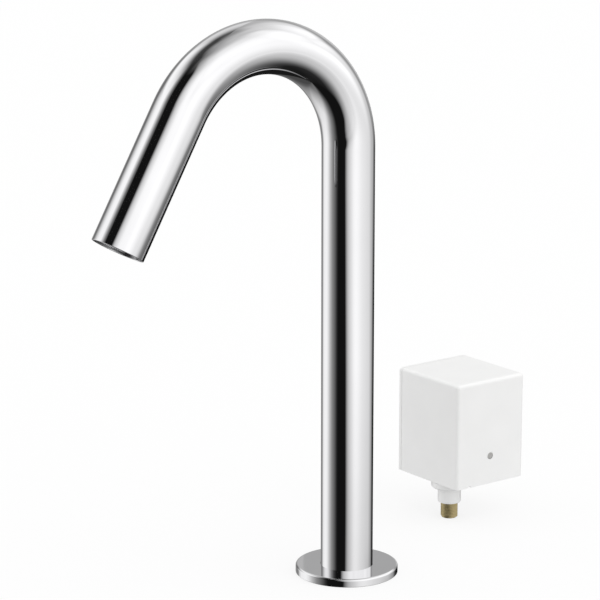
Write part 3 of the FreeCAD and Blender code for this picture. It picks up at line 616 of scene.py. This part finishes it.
# ---- control box ----
def model_cover():
    """The white cover: a rounded box open at the back and below, with the screw's hole and a notch."""
    back = BOX_X - BOX_DEPTH / 2 + BOX_WALL + BOX_SEAM
    top = BOX_FLOOR + BOX_HEIGHT
    half = BOX_WIDTH / 2
    middle = ((back + BOX_FRONT) / 2, BOX_Y, BOX_FLOOR + BOX_HEIGHT / 2)
    piece = block("cover", (BOX_FRONT - back, BOX_WIDTH, BOX_HEIGHT), middle)
    bpy.ops.object.mode_set(mode="EDIT")
    pick(piece, "FACE", lambda at: at.x < back + NEAR or at.z < BOX_FLOOR + NEAR)
    bpy.ops.mesh.delete(type="FACE")

    def on_two_sides(at):
        return (at.x > BOX_FRONT - NEAR) + (at.z > top - NEAR) + (abs(at.y - BOX_Y) > half - NEAR) >= 2

    pick(piece, "EDGE", on_two_sides)
    bpy.ops.mesh.bevel(offset=BOX_ROUNDING, segments=8, profile=0.5, affect="EDGES")
    bpy.ops.object.mode_set(mode="OBJECT")
    thicken(piece, BOX_WALL)
    drill = 10.0 * MM
    stem_hole, head_hole, head_depth = 1.3 * MM, SCREW_RADIUS + 0.1 * MM, 1.0 * MM
    notch_radius, notch_length, notch_from_side = 1.0 * MM, 8.0 * MM, 9.5 * MM
    head_middle = BOX_FRONT - head_depth + drill / 2
    tools = [
        bar("hole", stem_hole, drill, (BOX_FRONT - BOX_WALL, BOX_Y, SCREW_HEIGHT), 40),
        bar("hole", head_hole, drill, (head_middle, BOX_Y, SCREW_HEIGHT), 40),
        bar("hole", notch_radius, notch_length, (BOX_FRONT, BOX_Y - half + notch_from_side, BOX_FLOOR), 40),
    ]
    for tool in tools:
        cut(piece, tool)
    smooth(piece, 30)
    stand_in_for(piece, "cover", "white_plastic", "box_cover")


def model_cover_screw():
    """Captive screw: rounded head with a slot, and its stem."""
    face = BOX_FRONT - 0.1 * MM
    head_height = 0.9 * MM
    head_low = BOX_FRONT - 1.0 * MM
    slot_size = (1.2 * MM, 0.6 * MM, 2.8 * MM)
    stem_radius, stem_length = 1.2 * MM, 6.0 * MM
    piece = bar("cap_screw", SCREW_RADIUS, head_height, (face - head_height / 2, BOX_Y, SCREW_HEIGHT), 48)
    break_edges(piece, 0.22 * MM)
    cut(piece, block("slot", slot_size, (face, BOX_Y, SCREW_HEIGHT)))
    join(piece, bar("stem", stem_radius, stem_length, (head_low - stem_length / 2, BOX_Y, SCREW_HEIGHT), 32))
    smooth(piece, 30)
    stand_in_for(piece, "cover", "nickel", "cover_screw")


def model_collar():
    """White collar round the pipe, rounded below."""
    radius, hole = 6.6 * MM, 4.965 * MM
    high = BOX_FLOOR - 3.9 * MM
    rounding = 1.0 * MM
    corners = [(hole, COLLAR_FOOT)]
    corners += arc(radius - rounding, COLLAR_FOOT + rounding, rounding, -90, 0)
    corners += [(radius, high), (hole, high)]
    piece = lathe("collar", corners, INLET_X, INLET_Y)
    stand_in_for(piece, "tap", "white_plastic", "inlet_collar")


def keep_out_of_mirrors():
    """The photo's tube mirrors neither the box nor the disc it stands in, so glossy rays pass these by."""
    box_side = BOX_Y - BOX_WIDTH / 2 - BOX_SEAM
    for piece in bpy.context.scene.objects:
        if piece.type == "MESH":
            of_box = min(corner[1] for corner in piece.bound_box) > box_side
            if of_box or piece.name in ("flange", "base_seal"):
                piece.visible_glossy = False


# ---- studio ----
FLOOR_SIZE = 9.0
FLOOR_DIFFUSE = 0.18
FLOOR_GLOW = 0.50
FLOOR_SHOWN_GLOW = 0.79         # the camera sees it this bright, so that it stays as pale as paper
METAL_LIGHT = 1.22
EVEN_LIGHT = 1.05
KEY_TOWARD = (1.0, 0.35, 1.0)   # from the tap to the soft sun
KEY_POWER = 0.45
KEY_SPREAD = math.radians(70)

# The light round the tap as metal mirrors it, as lines of (degrees, value) stops. Degrees run round from the
# camera's back, positive to its right, or upward from level. The left side is a tall card with a soft inner
# edge, the right side a broad wall, a dark curtain hangs between them, and a dim gap runs low behind the tap.
LEFT_CARD = [
    (-180, 0.50), (-154, 0.50), (-147, 0.62), (-138, 0.72), (-126, 0.84), (-106, 0.90), (-96, 0.77),
    (-84, 0.47), (-72, 0.24), (-58, 0.10), (-50, 0.03), (-45, 0.009), (-41, 0.006),
]
LEFT_FALL = [(-90, 0.12), (-75, 0.22), (-60, 0.55), (-45, 0.86), (-15, 1.0)]
LEFT_CEILING = [(35, 1.0), (45, 0.87), (52, 0.62), (60, 0.25), (66, 0.06), (75, 0.03)]
# from 30 degrees up the card's edge is harder: its contrast there, and how bright it may get
CARD_GAIN = 1.75
CARD_SHIFT = -0.21
CARD_BRIGHTEST = 0.92
CARD_HARDENING = [(5, 0.0), (30, 1.0)]
# how far the card leans to the right at each height, in shares of a whole lean
CARD_LEAN = [(-65, 0.70), (-48, 0.40), (-30, 0.05), (-20, 0.0)]
WHOLE_CARD_LEAN = 20.0
# past its far end the card's fall comes higher by this much for each degree
CARD_END = -140.0
CARD_CURVE = 1.3

RIGHT_WALL = [
    (-16, 0.0), (-14, 0.02), (-12, 0.13), (-8, 0.29), (-5, 0.41), (-3, 0.49), (0, 0.56), (4, 0.64),
    (12, 0.76), (22, 0.92), (30, 0.97), (37, 0.96), (45, 0.92), (56, 0.85), (66, 0.80), (76, 0.77),
    (88, 0.73), (100, 0.70), (108, 0.62), (118, 0.52), (132, 0.62), (150, 0.80), (163, 0.72), (180, 0.44),
]
RIGHT_FALL = [
    (-75, 0.006), (-61, 0.015), (-54, 0.09), (-47, 0.23), (-40, 0.40), (-32, 0.59), (-28, 0.65), (-24, 0.70),
    (-21, 0.78), (-19, 0.80), (-17, 0.89), (-15, 0.97), (-12, 0.97), (-10, 0.95), (0, 1.0),
]
RIGHT_CEILING = [(38, 1.0), (45, 0.94), (52, 0.81), (64, 0.68), (76, 0.51), (90, 0.30)]
# higher up the wall is broader: where it brightens, and how much at each height
BROAD = [(30, 0.0), (42, 0.45), (66, 0.9), (76, 1.0), (100, 0.9), (125, 0.5), (150, 0.0)]
BROAD_RISE = [(-14, 0.0), (-4, 0.09), (0, 0.12), (9, 0.21), (18, 0.29), (25, 0.35), (40, 0.30)]
# the wall's far side: where it lies, and its brightness at each height, where half leaves it as it is
FAR_SIDE = [(78, 0.0), (106, 1.0), (126, 1.0), (150, 0.0)]
FAR_TILT = [(-31, 0.27), (-24, 0.18), (-21.5, 0.2), (-18.7, 0.5), (-8, 0.5), (8, 0.68)]
# past its far end and below level the wall's fall comes higher by this much for each degree
WALL_END = 126.0
WALL_CURVE = 2.0
BELOW_LEVEL = [(-14, 1.0), (-2, 0.0)]
WALL_START = -40.0

CURTAIN = 0.006
# how far the wall's edge of the curtain shifts at each height, in shares of its whole travel: half is none,
# and more is to the left
CURTAIN_LEAN = [
    (-50, 0.0), (-42, 0.07), (-34, 0.22), (-30, 0.34), (-27, 0.40), (-22, 0.43), (-18, 0.39), (-15, 0.42),
    (-13, 0.465), (-11, 0.508), (8, 0.467), (13, 0.55), (19, 0.70), (23, 0.77), (28, 0.717), (32, 0.65),
    (36, 0.645), (46, 0.58), (57, 0.49), (61, 0.53), (65, 0.60), (70, 0.75),
]
WHOLE_CURTAIN_LEAN = 60.0

GAP_LEFT = [(-180, 0.80), (-165, 0.68), (-152, 0.40), (-143, 0.30), (-135, 0.80), (-126, 1.0)]
GAP_LEFT_HIGH = [
    (-180, 0.80), (-165, 0.60), (-152, 0.27), (-141, 0.17), (-133, 0.42), (-125, 0.62), (-119, 0.78),
    (-112, 0.92), (-104, 1.0),
]
GAP_LEFT_RISE = [(-10, 0.0), (8, 1.0)]
GAP_RIGHT = [
    (108, 1.0), (120, 0.90), (129, 0.74), (138, 0.38), (147, 0.32), (157, 0.60), (165, 0.75), (180, 0.80),
]
GAP_CLOSES = [(15, 0.0), (30, 1.0)]

# the light round the zenith, the plain light straight above, and the heights where each takes over
ZENITH_RING = [
    (-180, 0.20), (-165, 0.11), (-154, 0.055), (-118, 0.045), (-80, 0.035), (-55, 0.042), (-34, 0.13),
    (-17, 0.18), (6, 0.26), (33, 0.38), (80, 0.50), (130, 0.47), (165, 0.28), (180, 0.20),
]
RING_RISE = [(60, 0.0), (68, 0.45), (76, 1.0)]
ZENITH = 0.30
ZENITH_RISE = [(76, 0.0), (88, 1.0)]


class Sums:
    """Short hand for arithmetic with shader nodes."""

    def __init__(self, tree):
        self.nodes, self.links = tree.nodes, tree.links

    def math(self, operation, *values):
        node = self.nodes.new("ShaderNodeMath")
        node.operation = operation
        for socket, value in zip(node.inputs, values):
            if isinstance(value, (int, float)):
                socket.default_value = value
            else:
                self.links.new(value, socket)
        return node.outputs[0]

    def product(self, first, *others):
        for other in others:
            first = self.math("MULTIPLY", first, other)
        return first

    def scaled(self, value, scale, shift):
        return self.math("MULTIPLY_ADD", value, scale, shift)

    def between(self, share, first, second):
        """The first value at a share of 0, and the second at a share of 1."""
        return self.math("MULTIPLY_ADD", share, self.math("SUBTRACT", second, first), first)

    def over(self, value, limit):
        """How far a value is over a limit, or nothing."""
        return self.math("MAXIMUM", self.math("SUBTRACT", value, limit), 0.0)

    def curve(self, value, stops):
        """Value along a line of (degrees, value) stops."""
        low, high = stops[0][0], stops[-1][0]
        spread = self.nodes.new("ShaderNodeMapRange")
        spread.inputs["From Min"].default_value = low
        spread.inputs["From Max"].default_value = high
        ramp = self.nodes.new("ShaderNodeValToRGB")
        marks = ramp.color_ramp.elements
        marks[0].position, marks[1].position = 0.0, 1.0
        for degrees, _ in stops[1:-1]:
            marks.new((degrees - low) / (high - low))
        for mark, (_, bright) in zip(marks, stops):
            mark.color = (bright, bright, bright, 1)
        self.links.new(value, spread.inputs["Value"])
        self.links.new(spread.outputs["Result"], ramp.inputs["Fac"])
        return ramp.outputs["Color"]

    def background(self, strength):
        light = self.nodes.new("ShaderNodeBackground")
        light.inputs["Color"].default_value = (1, 1, 1, 1)
        light.inputs["Strength"].default_value = strength
        return light

    def shader_mix(self, share, first, second):
        mix = self.nodes.new("ShaderNodeMixShader")
        self.links.new(share, mix.inputs[0])
        self.links.new(first.outputs[0], mix.inputs[1])
        self.links.new(second.outputs[0], mix.inputs[2])
        return mix


def card_light(sums, around, height):
    """The left side: the card, with the gap's left half at its far end."""
    lean = sums.curve(height, CARD_LEAN)
    card = sums.curve(sums.scaled(lean, -WHOLE_CARD_LEAN, around), LEFT_CARD)
    hard = sums.math("MAXIMUM", sums.scaled(card, CARD_GAIN, CARD_SHIFT), 0.0)
    hard = sums.math("MINIMUM", hard, CARD_BRIGHTEST)
    rise = sums.curve(height, GAP_LEFT_RISE)
    gap = sums.between(rise, sums.curve(around, GAP_LEFT), sums.curve(around, GAP_LEFT_HIGH))
    closed = sums.curve(sums.math("ABSOLUTE", height), GAP_CLOSES)
    curved = sums.math("SUBTRACT", height, sums.product(sums.over(CARD_END, around), CARD_CURVE))
    return sums.product(
        sums.between(sums.curve(height, CARD_HARDENING), card, hard),
        sums.curve(curved, LEFT_FALL),
        sums.curve(height, LEFT_CEILING),
        sums.math("MAXIMUM", gap, closed),
    )


def wall_light(sums, around, height):
    """The right side: the wall, with the gap's right half at its far end, which runs on downward."""
    lean = sums.scaled(sums.curve(height, CURTAIN_LEAN), WHOLE_CURTAIN_LEAN, -WHOLE_CURTAIN_LEAN / 2)
    past = sums.product(sums.over(around, WALL_END), sums.curve(height, BELOW_LEVEL), WALL_CURVE)
    gap, closed = sums.curve(around, GAP_RIGHT), sums.curve(height, GAP_CLOSES)
    tilt = sums.scaled(sums.curve(height, FAR_TILT), 2.0, -1.0)
    return sums.product(
        sums.curve(sums.math("ADD", around, lean), RIGHT_WALL),
        sums.curve(sums.math("SUBTRACT", height, past), RIGHT_FALL),
        sums.curve(height, RIGHT_CEILING),
        sums.math("MAXIMUM", gap, closed),
        sums.scaled(sums.curve(around, FAR_SIDE), tilt, 1.0),
        sums.scaled(sums.curve(around, BROAD), sums.curve(height, BROAD_RISE), 1.0),
        sums.math("GREATER_THAN", around, WALL_START),
    )


def make_world():
    """Plain white for the eye, an even light for matt surfaces, and the studio above for metal."""
    world = bpy.data.worlds.new("studio")
    bpy.context.scene.world = world
    world.use_nodes = True
    nodes, links = world.node_tree.nodes, world.node_tree.links
    nodes.clear()
    sums = Sums(world.node_tree)
    turn = nodes.new("ShaderNodeVectorRotate")
    turn.rotation_type = "Z_AXIS"
    # turned so that X points from the tap to the camera and Y to the camera's right
    turn.inputs["Angle"].default_value = math.pi / 2 - CAMERA_AZIMUTH
    split = nodes.new("ShaderNodeSeparateXYZ")
    links.new(nodes.new("ShaderNodeTexCoord").outputs["Generated"], turn.inputs["Vector"])
    links.new(turn.outputs["Vector"], split.inputs[0])
    around = sums.math("DEGREES", sums.math("ARCTAN2", split.outputs["Y"], split.outputs["X"]))
    height = sums.math("DEGREES", sums.math("ARCSINE", split.outputs["Z"]))
    left = sums.math("MAXIMUM", card_light(sums, around, height), CURTAIN)
    sides = sums.math("ADD", wall_light(sums, around, height), left)
    above = sums.between(sums.curve(height, ZENITH_RISE), sums.curve(around, ZENITH_RING), ZENITH)
    metal = sums.background(METAL_LIGHT)
    links.new(sums.between(sums.curve(height, RING_RISE), sides, above), metal.inputs["Color"])
    path = nodes.new("ShaderNodeLightPath")
    lit = sums.shader_mix(path.outputs["Is Glossy Ray"], sums.background(EVEN_LIGHT), metal)
    seen = sums.shader_mix(path.outputs["Is Camera Ray"], lit, sums.background(1.0))
    links.new(seen.outputs[0], nodes.new("ShaderNodeOutputWorld").inputs["Surface"])


def make_floor():
    """Pale floor that takes a soft shadow and glows a little; metal mirrors the studio in its stead."""
    deselect()
    bpy.ops.mesh.primitive_plane_add(size=FLOOR_SIZE, location=(0, 0, 0))
    floor = begin("floor")
    material = bpy.data.materials.new("pale_floor")
    material.use_nodes = True
    nodes, links = material.node_tree.nodes, material.node_tree.links
    nodes.clear()
    matt = nodes.new("ShaderNodeBsdfDiffuse")
    matt.inputs["Color"].default_value = (FLOOR_DIFFUSE, FLOOR_DIFFUSE, FLOOR_DIFFUSE, 1)
    glow = nodes.new("ShaderNodeEmission")
    seen = nodes.new("ShaderNodeLightPath").outputs["Is Camera Ray"]
    strength = Sums(material.node_tree).scaled(seen, FLOOR_SHOWN_GLOW - FLOOR_GLOW, FLOOR_GLOW)
    links.new(strength, glow.inputs["Strength"])
    both = nodes.new("ShaderNodeAddShader")
    links.new(matt.outputs[0], both.inputs[0])
    links.new(glow.outputs[0], both.inputs[1])
    links.new(both.outputs[0], nodes.new("ShaderNodeOutputMaterial").inputs["Surface"])
    floor.data.materials.append(material)
    floor.visible_glossy = False


def make_key():
    """Soft sun that gives the box its shades and the floor its shadow."""
    lamp = bpy.data.lights.new("key", "SUN")
    lamp.energy = KEY_POWER
    lamp.angle = KEY_SPREAD
    holder = bpy.data.objects.new("key", lamp)
    bpy.context.scene.collection.objects.link(holder)
    holder.rotation_euler = (-Vector(KEY_TOWARD)).to_track_quat("-Z", "Y").to_euler()
    holder.visible_glossy = False


def make_camera():
    data = bpy.data.cameras.new("camera")
    data.sensor_width = SENSOR_WIDTH
    data.lens = FOCAL_PIXELS / FRAME_PIXELS * SENSOR_WIDTH
    camera = bpy.data.objects.new("camera", data)
    bpy.context.scene.collection.objects.link(camera)
    camera.location = CAMERA_PLACE
    camera.rotation_euler = (math.pi / 2 - CAMERA_PITCH, 0, CAMERA_AZIMUTH)
    bpy.context.scene.camera = camera


make_camera()
make_floor()
make_world()
make_key()
bpy.context.scene.view_settings.view_transform = "Standard"

dress_frame()
model_spout()
model_flange()
model_shank()
model_stub()
model_springs()
model_cover()
model_cover_screw()
model_collar()
keep_out_of_mirrors()
